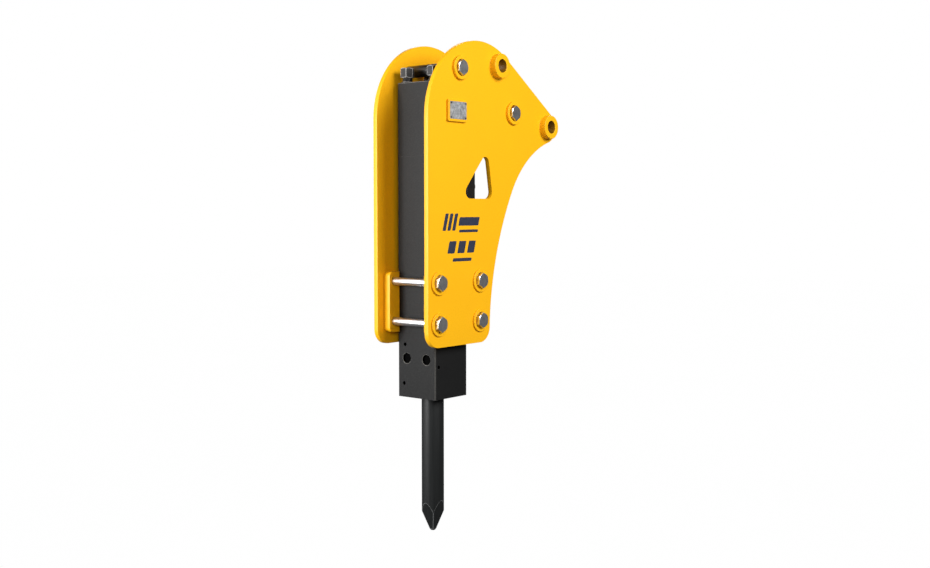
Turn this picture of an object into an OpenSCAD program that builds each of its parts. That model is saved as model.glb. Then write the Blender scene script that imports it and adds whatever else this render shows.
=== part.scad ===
// Hydraulic breaker hammer with open side plates, for a small backhoe or excavator.
// Units are millimetres, +Z is up, the tool points down (-Z).
// Every piece is drawn in the hammer's own frame: X = Y = 0 on the tool axis, Z = 0 at the
// bottom of the front head. hang() then moves it so that the dipper pin bore is the origin.

/* [Tool] */
// Diameter of the working tool
tool_d = 75; // [40:1:160]
// How far the tool slides between hanging and working position
tool_travel = 45; // [20:1:80]
// Depth of the tool tip below the front head when it hangs
tool_reach = 459.5; // [300:0.5:700]

/* [Hammer body] */
// Width and depth of the square body
body_w = 164; // [120:1:300]
// Chamfer on the four long edges of the body
body_chamfer = 4; // [1:0.5:10]
// Height of the front head
head_h = 386; // [250:1:500]
// Height of the joint between cylinder and back head
cylinder_top = 800; // [600:1:900]
// Height of the top face of the back head
body_h = 1041; // [900:1:1300]
// Distance of each tie rod from the middle planes
tie_pitch = 58; // [40:0.5:90]
// Diameter of the tie rods
tie_d = 27; // [16:1:40]
// Depth of the port block behind the body
port_block_d = 44; // [25:1:70]

/* [Side plates] */
// Clear gap between the two side plates
plate_gap = 206; // [150:1:350]
// Thickness of a side plate
plate_t = 16; // [8:1:30]
// Distance of the plates' front edge from the tool axis
plate_front = 158; // [120:1:220]
// Height of the plates' bottom edge
plate_bottom = 178.5; // [120:0.5:260]
// Corner radius at the bottom of the plates
plate_corner = 50; // [10:1:80]
// Radius of the round top of the plates
plate_top_r = 262; // [180:1:350]

/* [Pin bosses] */
// Diameter of the pin bores
pin_bore_d = 45; // [30:1:80]
// Outer diameter of the pin bosses
boss_d = 82; // [60:1:140]
// How far a boss stands out of the plate
boss_out = 24; // [0:1:60]
// Distance of the link pin from the tool axis
link_x = 197.7; // [150:0.1:300]
// Height of the link pin above the bottom of the front head
link_z = 1107.1; // [1000:0.1:1250]
// Distance of the dipper pin from the tool axis
dipper_x = 482.6; // [400:0.1:600]
// Height of the dipper pin above the bottom of the front head
dipper_z = 916.6; // [800:0.1:1050]

/* [Clamp bolts] */
// Distance of the lower clamp bolts from the tool axis
clamp_x = 105.5; // [90:0.5:140]
// Height of the lower row of clamp bolts
clamp_low = 254.4; // [220:0.1:300]
// Height of the second row of clamp bolts
clamp_high = 387.7; // [340:0.1:450]
// Diameter of the plain shank of a clamp bolt
clamp_d = 27; // [16:1:40]
// Width across flats of the bolt heads
clamp_af = 46; // [24:1:60]

/* [Hidden] */
$fn = 96;
half = body_w / 2;
link_pin = [link_x, link_z];
dipper_pin = [dipper_x, dipper_z];
clamp_z = [clamp_low, clamp_high];
y_in = plate_gap / 2;
y_out = y_in + plate_t;
tool_r = tool_d / 2;
run = 0.05;
gap = 0.3;
// retainer pins, their cross height and place
pin_r = 17.5;
pin_y = 43;
pin_z = 130.5;
// bushes and thrust ring
bush_r = 52;
inner_r = 51;
lower_bush_z0 = 8;
lower_bush_z1 = 96;
upper_bush_z0 = 166;
upper_bush_z1 = 282;
ring_z1 = 334;
tool_top = 265;
impact_z = tool_top + tool_travel;
// piston
rod_r = 31;
land_r = 37;
top_rod_r = 29;
stroke = 90;
bore_z0 = 484;
bore_z1 = 704;
piston_top = 842;
// valve group
valve_r = 54;
sleeve_r = 44;
sleeve_z1 = 780;
retainer_z1 = 860;
spool_z0 = 706;
spool_h = 60;
// gas chamber in the back head
gas_r = 50;
gas_z1 = 1000;
gas_valve_z = 930;
// oil ports on the rear face of the cylinder
port_y = 27;
port_z = 703;
port_r = 13;
port_x = half + port_block_d;
port_block_z = [610, 772];
port_screws = [[-31, 630], [31, 630], [-31, 754], [31, 754]];
// bolts above and behind the body
upper_bolts = [[0, 1085.6], [284.6, 955]];
head_h_bolt = 17.5;
washer_t = 3.5;
nut_t = 24;
ring_low = 6;
ring_high = 10;
ring_od = 78;
ring_id = 55;
// directions along the row of pins and square to it
pin_dx = dipper_pin[0] - link_pin[0];
pin_dz = dipper_pin[1] - link_pin[1];
pin_gap = sqrt(pin_dx * pin_dx + pin_dz * pin_dz);
nx = -pin_dz / pin_gap;
nz = pin_dx / pin_gap;
top_c = [plate_top_r - plate_front, 920];
slope_off = nx * top_c[0] + nz * top_c[1] + plate_top_r;
tip_r = slope_off - nx * dipper_pin[0] - nz * dipper_pin[1];
// the two hollow curves of the rear edge
throat_c = [608, 512];
throat_r = norm(throat_c - dipper_pin) - tip_r;
waist_z = 196;
waist_r = (pow(throat_c[0] - plate_front, 2) + pow(waist_z - throat_c[1], 2) - pow(throat_r, 2))
          / (2 * (throat_c[0] - plate_front - throat_r));
waist_c = [plate_front + waist_r, waist_z];
corner_z = plate_bottom + plate_corner;
waist_x = waist_c[0] - sqrt(pow(waist_r, 2) - pow(corner_z - waist_z, 2));

// ---------- helpers ----------

// moves a piece from the hammer's frame to the frame of the dipper pin
module hang() {
  translate([-dipper_pin[0], 0, -dipper_pin[1]]) children();
}

// extrudes an XZ outline from y0 to y1
module across(y0, y1) {
  translate([0, y1, 0]) rotate([90, 0, 0]) linear_extrude(height = y1 - y0) children();
}

// round bar along Y
module bar_y(r, y0, y1) {
  translate([0, y1, 0]) rotate([90, 0, 0]) cylinder(r = r, h = y1 - y0);
}

// round bar along X
module bar_x(r, x0, x1) {
  translate([x0, 0, 0]) rotate([0, 90, 0]) cylinder(r = r, h = x1 - x0);
}

// round bar along Z
module bar_z(r, z0, z1) {
  translate([0, 0, z0]) cylinder(r = r, h = z1 - z0);
}

// hollow round bar along Z
module tube_z(r, bore, z0, z1) {
  difference() {
    bar_z(r, z0, z1);
    bar_z(bore, z0 - 1, z1 + 1);
  }
}

// hexagon along Y with two corners on the Z axis
module hex_y(af, y0, y1) {
  translate([0, y1, 0]) rotate([90, 0, 0]) rotate([0, 0, 30])
    cylinder(r = af / 2 / cos(30), h = y1 - y0, $fn = 6);
}

// square block of the body, with its long edges chamfered
module block(z0, z1) {
  c = half - body_chamfer;
  translate([0, 0, z0]) linear_extrude(height = z1 - z0)
    polygon([[-c, -half], [c, -half], [half, -c], [half, c],
             [c, half], [-c, half], [-half, c], [-half, -c]]);
}

// repeats a piece at the four tie rods
module at_ties() {
  for (x = [-tie_pitch, tie_pitch]) {
    for (y = [-tie_pitch, tie_pitch]) {
      translate([x, y, 0]) children();
    }
  }
}

// repeats a piece at the four lower clamp bolts
module at_lower_bolts() {
  for (x = [-clamp_x, clamp_x]) {
    for (z = clamp_z) {
      translate([x, 0, z]) children();
    }
  }
}

// repeats a piece at the two upper clamp bolts
module at_upper_bolts() {
  for (p = upper_bolts) {
    translate([p[0], 0, p[1]]) children();
  }
}

// makes the piece and its mirror image on the other side plate
module both_sides() {
  children();
  mirror([0, 1, 0]) children();
}

// touching points of a straight line on two round corners
function lean(a, b) = atan2(b[1] - a[1], b[0] - a[0]) - 90
                      + asin((a[2] - b[2]) / norm([b[0] - a[0], b[1] - a[1]]));
function touch(c, ang) = [c[0] + c[2] * cos(ang), c[1] + c[2] * sin(ang)];

// ---------- side plates ----------

window_a = [53.5, 684, 23];
window_b = [147.5, 684, 23];
window_c = [134, 781, 20];

// cuts the window through whatever lies between y0 and y1
module window_cut(y0, y1) {
  across(y0, y1) polygon([touch(window_a, lean(window_a, window_b)),
                          touch(window_b, lean(window_a, window_b)),
                          touch(window_b, lean(window_b, window_c)),
                          touch(window_c, lean(window_b, window_c)),
                          touch(window_c, lean(window_c, window_a)),
                          touch(window_a, lean(window_c, window_a))]);
  for (c = [window_a, window_b, window_c]) {
    across(y0, y1) translate([c[0], c[1]]) circle(r = c[2]);
  }
}

// flame-cut plate before its holes: straight front, round top, hollow rear edge
module plate_blank() {
  line_k = (corner_z - throat_c[1]) / (waist_z - throat_c[1]);
  low_x = throat_c[0] + line_k * (waist_c[0] - throat_c[0]);
  join = waist_c + waist_r / norm(throat_c - waist_c) * (throat_c - waist_c);
  above = waist_c + [0, 40];
  difference() {
    across(-y_out, -y_in)
      polygon([[-plate_front, corner_z], [-plate_front, top_c[1]],
               [top_c[0] + plate_top_r * nx, top_c[1] + plate_top_r * nz],
               [dipper_pin[0] + tip_r * nx, dipper_pin[1] + tip_r * nz],
               dipper_pin, throat_c, [low_x, corner_z]]);
    across(-y_out - 1, -y_in + 1) translate(throat_c) circle(r = throat_r);
    intersection() {
      across(-y_out - 1, -y_in + 1) translate(waist_c) circle(r = waist_r);
      across(-y_out - 1, -y_in + 1)
        polygon([join + 0.1 * (join - above), above, [waist_c[0], 100], [100, 100]]);
    }
  }
  across(-y_out, -y_in) translate(top_c) circle(r = plate_top_r);
  across(-y_out, -y_in) translate(dipper_pin) circle(r = tip_r);
  across(-y_out, -y_in) translate([plate_corner - plate_front, corner_z]) circle(r = plate_corner);
  across(-y_out, -y_in) translate([waist_x - plate_corner, corner_z]) circle(r = plate_corner);
  across(-y_out, -y_in) translate([plate_corner - plate_front, plate_bottom])
    square([waist_x + plate_front - 2 * plate_corner, plate_corner + 60]);
}

module side_plate() {
  difference() {
    plate_blank();
    window_cut(-y_out - 1, -y_in + 1);
    for (p = [link_pin, dipper_pin]) {
      translate([p[0], 0, p[1]]) bar_y(boss_d / 2, -y_out - 1, -y_in + 1);
    }
    at_lower_bolts() bar_y(clamp_d / 2 + 0.5, -y_out - 1, -y_in + 1);
    at_upper_bolts() bar_y(clamp_d / 2 + 0.5, -y_out - 1, -y_in + 1);
  }
}

module side_plate_left() {
  color([1.0, 0.76, 0.1]) hang() side_plate();
}

module side_plate_right() {
  color([1.0, 0.76, 0.1]) hang() mirror([0, 1, 0]) side_plate();
}

// turned boss welded into its hole in the plate
module boss(p) {
  both_sides() {
    translate([p[0], 0, p[1]]) difference() {
      bar_y(boss_d / 2, -y_out - boss_out, -y_in);
      bar_y(pin_bore_d / 2, -y_out - boss_out - 1, -y_in + 1);
    }
  }
}

module link_pin_bosses() {
  color([1.0, 0.76, 0.1]) hang() boss(link_pin);
}

module dipper_pin_bosses() {
  color([1.0, 0.76, 0.1]) hang() boss(dipper_pin);
}

// ring welded round a bolt head or nut
module guard_ring(t) {
  difference() {
    bar_y(ring_od / 2, -y_out - t, -y_out);
    bar_y(ring_id / 2, -y_out - t - 1, -y_out + 1);
  }
}

module bolt_guard_rings() {
  color([1.0, 0.76, 0.1]) hang() both_sides() {
    at_lower_bolts() guard_ring(ring_low);
    at_upper_bolts() guard_ring(ring_high);
  }
}

// block between plate and body that grips a corner of the body
block_x1 = 129;
block_x0 = 40;
block_z0 = 218;
block_z1 = 419;
block_lip = 75;
block_round = 15;

module clamp_block() {
  difference() {
    across(-y_in, -block_lip) {
      difference() {
        union() {
          translate([-block_x1, block_z0 + block_round])
            square([block_x1 - block_x0, block_z1 - block_z0 - 2 * block_round]);
          translate([-block_x1 + block_round, block_z0])
            square([block_x1 - block_x0 - block_round, block_z1 - block_z0]);
          for (z = [block_z0 + block_round, block_z1 - block_round]) {
            translate([-block_x1 + block_round, z]) circle(r = block_round);
          }
        }
        for (z = clamp_z) {
          translate([-clamp_x, z]) circle(r = clamp_d / 2 + 0.5);
        }
      }
    }
    block(block_z0 - 10, block_z1 + 10);
  }
}

module clamp_blocks() {
  color([0.95, 0.7, 0.1]) hang() both_sides() {
    clamp_block();
    mirror([1, 0, 0]) clamp_block();
  }
}

// ---------- clamp bolts ----------

module clamp_bolt() {
  hex_y(clamp_af, -y_out - head_h_bolt, -y_out);
  bar_y(clamp_d / 2, -y_out - 1, y_out + washer_t + nut_t + 2);
}

module lower_clamp_bolts() {
  color([0.72, 0.73, 0.75]) hang() at_lower_bolts() clamp_bolt();
}

module upper_clamp_bolts() {
  color([0.72, 0.73, 0.75]) hang() at_upper_bolts() clamp_bolt();
}

module clamp_washer() {
  difference() {
    bar_y(26, y_out, y_out + washer_t);
    bar_y(clamp_d / 2, y_out - 1, y_out + washer_t + 1);
  }
}

module clamp_washers() {
  color([0.6, 0.61, 0.63]) hang() {
    at_lower_bolts() clamp_washer();
    at_upper_bolts() clamp_washer();
  }
}

module clamp_nut() {
  difference() {
    hex_y(clamp_af, y_out + washer_t, y_out + washer_t + nut_t);
    bar_y(clamp_d / 2, y_out, y_out + washer_t + nut_t + 1);
  }
}

module clamp_nuts() {
  color([0.4, 0.41, 0.42]) hang() {
    at_lower_bolts() clamp_nut();
    at_upper_bolts() clamp_nut();
  }
}

// tubes that keep the plates apart at the upper bolts
module spacer_tubes() {
  color([0.1, 0.1, 0.1]) hang() at_upper_bolts() difference() {
    bar_y(20, -y_in, y_in);
    bar_y(clamp_d / 2 + 0.5, -y_in - 1, y_in + 1);
  }
}

// ---------- rating plate ----------

pad = [-68, 909, 94, 71];
pad_t = 9;
label = [-60.5, 917.5, 83, 56.5];

module rounded(x, z, w, h, r) {
  translate([x + r, z]) square([w - 2 * r, h]);
  translate([x, z + r]) square([w, h - 2 * r]);
  for (i = [x + r, x + w - r]) {
    for (j = [z + r, z + h - r]) {
      translate([i, j]) circle(r = r);
    }
  }
}

module rating_plate_pad() {
  color([1.0, 0.76, 0.1]) hang() across(-y_out - pad_t, -y_out)
    rounded(pad[0], pad[1], pad[2], pad[3], 6);
}

module at_rivets() {
  for (x = [label[0] + 5, label[0] + label[2] - 5]) {
    for (z = [label[1] + 5, label[1] + label[3] - 5]) {
      translate([x, 0, z]) children();
    }
  }
}

module rating_plate() {
  color([0.66, 0.66, 0.66]) hang() difference() {
    across(-y_out - pad_t - 1, -y_out - pad_t) rounded(label[0], label[1], label[2], label[3], 1.5);
    at_rivets() bar_y(1.6, -y_out - pad_t - 2, -y_out - pad_t + 1);
  }
}

// blind rivets, each with a flat round head
module rating_plate_rivets() {
  color([0.3, 0.3, 0.3]) hang() at_rivets() {
    bar_y(1.6, -y_out - pad_t - 1.5, -y_out - pad_t);
    bar_y(3.2, -y_out - pad_t - 2.2, -y_out - pad_t - 1);
  }
}

// ---------- front head ----------

lock_low = [55, 46];
lock_high = [50, 176.5];
lock_r = 6.5;
stop_x = -64;
stop_z = 108;
stop_r = 6;

module front_head() {
  color([0.2, 0.2, 0.2]) hang() difference() {
    block(0, head_h);
    bar_z(tool_r + 4, -1, head_h);
    bar_z(bush_r, -1, lower_bush_z1);
    bar_z(inner_r, upper_bush_z0, head_h + 1);
    for (y = [-pin_y, pin_y]) {
      translate([0, y, pin_z]) bar_x(pin_r, -half - 1, half + 1);
      for (s = [-1, 1]) {
        translate([-s * (half + 1), y, pin_z]) rotate([0, 90 * s, 0])
          cylinder(r1 = pin_r + 2.5, r2 = pin_r, h = 2.5);
      }
    }
    translate([0, lock_low[0], lock_low[1]]) bar_x(lock_r, -half - 1, 45);
    translate([0, lock_high[0], lock_high[1]]) bar_x(lock_r, -half - 1, 45);
    both_sides() translate([stop_x, 0, stop_z]) bar_y(stop_r, -half - 1, -36);
    at_ties() bar_z(tie_d / 2, 262, head_h + 1);
    translate([0, 0, 215]) bar_x(4, 40, half + 1);
  }
}

// bush pressed in from below, with a groove for its lock pin
module lower_bush() {
  color([0.45, 0.43, 0.4]) hang() difference() {
    tube_z(bush_r, tool_r + run, 0, lower_bush_z1);
    bar_z(tool_r + 7, -1, lower_bush_z0 + 6);
    translate([0, lock_low[0], lock_low[1]]) bar_x(lock_r, -60, 60);
  }
}

// wiper ring in the mouth of the lower bush
module tool_dust_seal() {
  color([0.06, 0.06, 0.06]) hang() tube_z(tool_r + 7, tool_r + run, 1, lower_bush_z0 + 6);
}

module upper_bush() {
  color([0.45, 0.43, 0.4]) hang() difference() {
    tube_z(inner_r, tool_r + run, upper_bush_z0, upper_bush_z1);
    translate([0, lock_high[0], lock_high[1]]) bar_x(lock_r, -60, 60);
    translate([0, 0, 215]) bar_x(4, 30, 60);
  }
}

// the tool's shoulder beats against the cone in this ring
module thrust_ring() {
  color([0.5, 0.48, 0.45]) hang() difference() {
    bar_z(inner_r, upper_bush_z1, ring_z1);
    bar_z(tool_r + 0.4, upper_bush_z1 - 1, impact_z - 8 + gap);
    translate([0, 0, impact_z - 8 + gap - 0.01]) cylinder(r1 = tool_r + 0.4, r2 = 32.9, h = 8.01);
    bar_z(32.9, impact_z, ring_z1 + 1);
  }
}

// two bars across the head that keep the tool in
module retainer_pins() {
  color([0.5, 0.5, 0.52]) hang() for (s = [-1, 1]) {
    difference() {
      translate([0, s * pin_y, pin_z]) bar_x(pin_r, -72, 72);
      translate([stop_x, 0, stop_z]) bar_y(stop_r, -half, half);
    }
  }
}

module retainer_pin_plugs() {
  color([0.05, 0.05, 0.05]) hang() for (y = [-pin_y, pin_y]) {
    translate([0, y, pin_z]) bar_x(pin_r, -74, -72);
    translate([0, y, pin_z]) bar_x(pin_r, 72, 74);
  }
}

module retainer_stop_pins() {
  color([0.25, 0.25, 0.25]) hang() both_sides() translate([stop_x, 0, stop_z]) bar_y(stop_r, -68, -36);
}

module bush_lock_pins() {
  color([0.25, 0.25, 0.25]) hang() {
    translate([0, lock_low[0], lock_low[1]]) bar_x(lock_r, -66, 45);
    translate([0, lock_high[0], lock_high[1]]) bar_x(lock_r, -66, 45);
  }
}

// grease point for the bushes, on the rear face
module grease_nipple() {
  color([0.7, 0.7, 0.72]) hang() translate([0, 0, 215]) {
    difference() {
      union() {
        bar_x(4, 66, half);
        rotate([0, 90, 0]) translate([0, 0, half]) cylinder(r = 6.4, h = 6, $fn = 6);
        bar_x(3.2, half + 6, half + 14);
      }
      bar_x(1.2, 65, half + 15);
    }
  }
}

// ---------- cylinder ----------

module power_bore() {
  bar_z(rod_r + run, ring_z1 - 1, cylinder_top);
  bar_z(land_r + run, bore_z0, cylinder_top);
  bar_z(valve_r, bore_z1, cylinder_top + 1);
}

module power_cylinder() {
  color([0.2, 0.2, 0.2]) hang() difference() {
    union() {
      block(head_h, cylinder_top);
      bar_z(inner_r, ring_z1, head_h);
    }
    power_bore();
    for (z = [346, 362]) {
      tube_z(rod_r + 5, rod_r - 1, z, z + 8);
    }
    tube_z(inner_r + 9, inner_r + 4, head_h - 1, head_h + 3);
    at_ties() bar_z(tie_d / 2 + 0.5, head_h - 1, cylinder_top + 1);
    for (y = [-port_y, port_y]) {
      translate([0, y, port_z]) bar_x(7, 20, half + 1);
    }
    for (p = port_screws) {
      translate([0, p[0], p[1]]) bar_x(8, 60, half + 1);
    }
  }
}

// block on the rear face through which the oil comes and goes
module port_block() {
  color([0.2, 0.2, 0.2]) hang() difference() {
    translate([0, 0, port_block_z[0]]) linear_extrude(height = port_block_z[1] - port_block_z[0])
      polygon([[half, -half], [port_x - 2, -half], [port_x, 2 - half],
               [port_x, half - 2], [port_x - 2, half], [half, half]]);
    for (y = [-port_y, port_y]) {
      translate([0, y, port_z]) bar_x(port_r, half + 22, port_x + 1);
      translate([0, y, port_z]) bar_x(7, half - 1, half + 23);
    }
    for (p = port_screws) {
      translate([0, p[0], p[1]]) bar_x(8, half - 1, port_x);
      translate([0, p[0], p[1]]) bar_x(12.5, port_x - 17, port_x + 1);
    }
  }
}

// socket head screws, their heads sunk in the block
module port_block_screws() {
  color([0.25, 0.25, 0.25]) hang() for (p = port_screws) {
    translate([0, p[0], p[1]]) difference() {
      union() {
        bar_x(8, 60, port_x - 16);
        bar_x(12, port_x - 17, port_x - 1);
      }
      rotate([0, 90, 0]) translate([0, 0, port_x - 9]) cylinder(r = 14 / 2 / cos(30), h = 9, $fn = 6);
    }
  }
}

// soft rings that seal the lower end of the piston
module rod_seals() {
  color([0.1, 0.1, 0.1]) hang() for (z = [346, 362]) {
    tube_z(rod_r + 5, rod_r + run, z, z + 8);
  }
}

// rings that seal the two joints of the body
module joint_o_rings() {
  color([0.05, 0.05, 0.05]) hang() {
    tube_z(inner_r + 9, inner_r + 4, head_h, head_h + 3);
    tube_z(valve_r + 9, valve_r + 4, cylinder_top, cylinder_top + 3);
  }
}

// fixed sleeve in which the ring valve slides
module valve_sleeve() {
  color([0.6, 0.58, 0.5]) hang() difference() {
    tube_z(valve_r, sleeve_r + run, bore_z1, sleeve_z1);
    for (a = [0:60:300]) {
      rotate([0, 0, a]) translate([0, 0, 735]) bar_x(4, 40, 60);
    }
  }
}

// carries the seals between oil and gas round the top of the piston
module seal_retainer() {
  color([0.62, 0.6, 0.52]) hang() difference() {
    tube_z(valve_r, top_rod_r + run, sleeve_z1, retainer_z1);
    for (z = [796, 818, 840]) {
      tube_z(top_rod_r + 5, top_rod_r - 1, z, z + 8);
    }
  }
}

module gas_seals() {
  color([0.08, 0.08, 0.1]) hang() for (z = [796, 818, 840]) {
    tube_z(top_rod_r + 5, top_rod_r + run, z, z + 8);
  }
}

// straight unions that the two hoses screw onto
module hose_adapters() {
  color([0.7, 0.7, 0.66]) hang() for (y = [-port_y, port_y]) {
    translate([0, y, port_z]) difference() {
      union() {
        bar_x(port_r, port_x - 20, port_x);
        bar_x(20, port_x, port_x + 4);
        rotate([0, 90, 0]) translate([0, 0, port_x + 4]) cylinder(r = 20.2, h = 16, $fn = 6);
        bar_x(12.5, port_x + 20, port_x + 24);
        bar_x(15, port_x + 24, port_x + 50);
      }
      bar_x(9.5, port_x - 21, port_x + 51);
    }
  }
}

// ---------- back head ----------

module back_head() {
  color([0.2, 0.2, 0.2]) hang() difference() {
    block(cylinder_top, body_h);
    bar_z(valve_r, cylinder_top - 1, retainer_z1);
    bar_z(gas_r, retainer_z1 - 1, gas_z1);
    tube_z(valve_r + 9, valve_r + 4, cylinder_top - 1, cylinder_top + 3);
    at_ties() bar_z(tie_d / 2 + 0.5, cylinder_top - 1, body_h + 1);
    translate([0, 0, gas_valve_z]) bar_x(3, 40, 60);
    translate([0, 0, gas_valve_z]) bar_x(9, 56, half + 1);
  }
}

// valve through which the gas chamber is charged
module gas_valve() {
  color([0.72, 0.6, 0.3]) hang() translate([0, 0, gas_valve_z]) difference() {
    union() {
      bar_x(9, 56, half);
      rotate([0, 90, 0]) translate([0, 0, half]) cylinder(r = 12.7, h = 6, $fn = 6);
      bar_x(6, half + 6, half + 16);
    }
    bar_x(2, 55, half + 17);
  }
}

// screwed cap over the charging valve
module gas_valve_cap() {
  color([0.75, 0.75, 0.76]) hang() translate([0, 0, gas_valve_z]) difference() {
    bar_x(9, half + 6, half + 22);
    bar_x(6, half + 5, half + 16);
  }
}

// long studs that hold front head, cylinder and back head together
module tie_rods() {
  color([0.25, 0.25, 0.25]) hang() at_ties() bar_z(tie_d / 2, 262, body_h + 50);
}

module tie_rod_washers() {
  color([0.25, 0.25, 0.25]) hang() at_ties() difference() {
    union() {
      bar_z(21, body_h, body_h + 4);
      bar_z(16.5, body_h + 4, body_h + 17.6);
    }
    bar_z(tie_d / 2, body_h - 1, body_h + 19);
  }
}

module tie_rod_nuts() {
  color([0.22, 0.22, 0.22]) hang() at_ties() difference() {
    translate([0, 0, body_h + 17.6]) rotate([0, 0, 30])
      cylinder(r = 41 / 2 / cos(30), h = 32.4, $fn = 6);
    bar_z(tie_d / 2, body_h + 16, body_h + 51);
  }
}

// ---------- moving pieces ----------

// four-sided point, flats for the retainer pins, struck end chamfered
module tool() {
  notch = tool_travel + 5;
  color([0.2, 0.2, 0.2]) hang() difference() {
    intersection() {
      union() {
        bar_z(tool_r, -tool_reach, tool_top - 8);
        translate([0, 0, tool_top - 8]) cylinder(r1 = tool_r, r2 = tool_r - 5, h = 8);
      }
      across(-60, 60) polygon([[-40, 300], [-40, -353.1], [-7.9, -454.5], [-5, -tool_reach],
                               [5, -tool_reach], [7.9, -454.5], [40, -353.1], [40, 300]]);
      rotate([0, 0, 90]) across(-60, 60)
        polygon([[-40, 300], [-40, -344.4], [-7.9, -454.5], [-5, -tool_reach],
                 [5, -tool_reach], [7.9, -454.5], [40, -344.4], [40, 300]]);
    }
    both_sides() {
      for (z = [pin_z, pin_z - notch]) {
        translate([0, -pin_y, z]) bar_x(pin_r + gap, -50, 50);
      }
      translate([-50, -pin_y - pin_r, pin_z - notch]) cube([100, 2 * pin_r + gap, notch]);
    }
  }
}

module piston() {
  z0 = impact_z + gap;
  color([0.75, 0.76, 0.78]) hang() {
    translate([0, 0, z0]) cylinder(r1 = rod_r - 3, r2 = rod_r, h = 5);
    bar_z(rod_r, z0 + 5, 500);
    bar_z(land_r, 500, 542);
    bar_z(land_r - 4, 542, 566);
    bar_z(land_r, 566, 608);
    bar_z(top_rod_r, 608, piston_top);
  }
}

// ring that steers the oil, round the upper part of the piston
module valve_spool() {
  color([0.7, 0.68, 0.6]) hang() difference() {
    bar_z(sleeve_r, spool_z0, spool_z0 + spool_h);
    tube_z(sleeve_r + 1, sleeve_r - 3, spool_z0 + 22, spool_z0 + 38);
    bar_z(top_rod_r + 1, spool_z0 - 1, spool_z0 + spool_h + 1);
  }
}

side_plate_left();
side_plate_right();
link_pin_bosses();
dipper_pin_bosses();
bolt_guard_rings();
clamp_blocks();
lower_clamp_bolts();
upper_clamp_bolts();
clamp_washers();
clamp_nuts();
spacer_tubes();
rating_plate_pad();
rating_plate();
rating_plate_rivets();
front_head();
lower_bush();
upper_bush();
thrust_ring();
tool_dust_seal();
retainer_pins();
retainer_pin_plugs();
retainer_stop_pins();
bush_lock_pins();
grease_nipple();
power_cylinder();
rod_seals();
valve_sleeve();
seal_retainer();
gas_seals();
back_head();
joint_o_rings();
gas_valve();
gas_valve_cap();
tie_rods();
tie_rod_washers();
tie_rod_nuts();
port_block();
port_block_screws();
hose_adapters();
tool();
piston();
valve_spool();
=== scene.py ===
import math

import bmesh
import bpy
from mathutils import Matrix, Vector, noise


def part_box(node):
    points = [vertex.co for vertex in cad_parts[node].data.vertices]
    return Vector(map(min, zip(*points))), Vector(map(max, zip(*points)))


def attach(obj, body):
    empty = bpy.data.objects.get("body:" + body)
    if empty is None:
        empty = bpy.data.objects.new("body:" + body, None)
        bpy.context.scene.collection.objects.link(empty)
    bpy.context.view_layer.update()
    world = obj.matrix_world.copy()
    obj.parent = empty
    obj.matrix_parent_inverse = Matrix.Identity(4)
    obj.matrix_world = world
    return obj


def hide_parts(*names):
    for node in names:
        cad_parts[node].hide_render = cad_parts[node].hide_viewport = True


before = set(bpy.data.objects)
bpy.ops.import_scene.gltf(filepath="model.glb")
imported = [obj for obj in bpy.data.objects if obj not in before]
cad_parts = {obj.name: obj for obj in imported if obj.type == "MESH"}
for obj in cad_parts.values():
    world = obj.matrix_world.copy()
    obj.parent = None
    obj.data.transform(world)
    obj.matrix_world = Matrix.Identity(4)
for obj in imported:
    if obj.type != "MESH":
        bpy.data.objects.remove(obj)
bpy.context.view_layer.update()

# ---- Camera ----
# A plain camera a little above the middle of the hammer, in front of its left plate.
# Its place, its turn and its lens belong together; nothing else in the script uses them.
CAMERA_PLACE = (-3.5323, -2.6485, -0.2889)
CAMERA_TILT = 3.57
CAMERA_TURN = -50.57
camera_data = bpy.data.cameras.new("camera")
camera_data.sensor_width = 36.0
camera_data.lens = 46.74
camera_data.clip_end = 60.0
camera = bpy.data.objects.new("camera", camera_data)
bpy.context.scene.collection.objects.link(camera)
camera.location = CAMERA_PLACE
camera.rotation_euler = (math.radians(90 - CAMERA_TILT), 0, math.radians(CAMERA_TURN))
bpy.context.scene.camera = camera
bpy.context.scene.view_settings.view_transform = "Standard"

# ---- Floor and light ----
# A white floor under the hanging hammer, in a room that is white to look at and dim to mirror.
# A tall panel and a softbox on the left are what the front faces mirror. Two more softboxes
# light the near plate, and a weak one the rear.


def linear(hex_colour):
    """sRGB hex value to the linear colour that a shader takes."""
    parts = [int(hex_colour[i:i + 2], 16) / 255 for i in (1, 3, 5)]
    return tuple(c / 12.92 if c <= 0.04045 else ((c + 0.055) / 1.055) ** 2.4 for c in parts) + (1.0,)


def add(tree, kind, inputs=(), **settings):
    """Adds one shader node; inputs maps sockets to values or to the outputs that feed them."""
    made = tree.nodes.new("ShaderNode" + kind)
    for name, value in settings.items():
        setattr(made, name, value)
    for socket, value in dict(inputs).items():
        if isinstance(value, bpy.types.NodeSocket):
            tree.links.new(value, made.inputs[socket])
        else:
            made.inputs[socket].default_value = value
    return made


def new_material(name):
    """An empty node material; returns it, its tree and the surface socket of its output."""
    material = bpy.data.materials.new(name)
    material.use_nodes = True
    material.node_tree.nodes.clear()
    output = material.node_tree.nodes.new("ShaderNodeOutputMaterial")
    return material, material.node_tree, output.inputs["Surface"]


def keep(bm, name, body, slot, *materials):
    """Turns a finished bmesh into an object that rides on a body and takes its materials."""
    mesh = bpy.data.meshes.new(name)
    bm.to_mesh(mesh)
    bm.free()
    for material in materials:
        mesh.materials.append(material)
    piece = bpy.data.objects.new(name, mesh)
    bpy.context.scene.collection.objects.link(piece)
    if body:
        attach(piece, body)
    return piece


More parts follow.
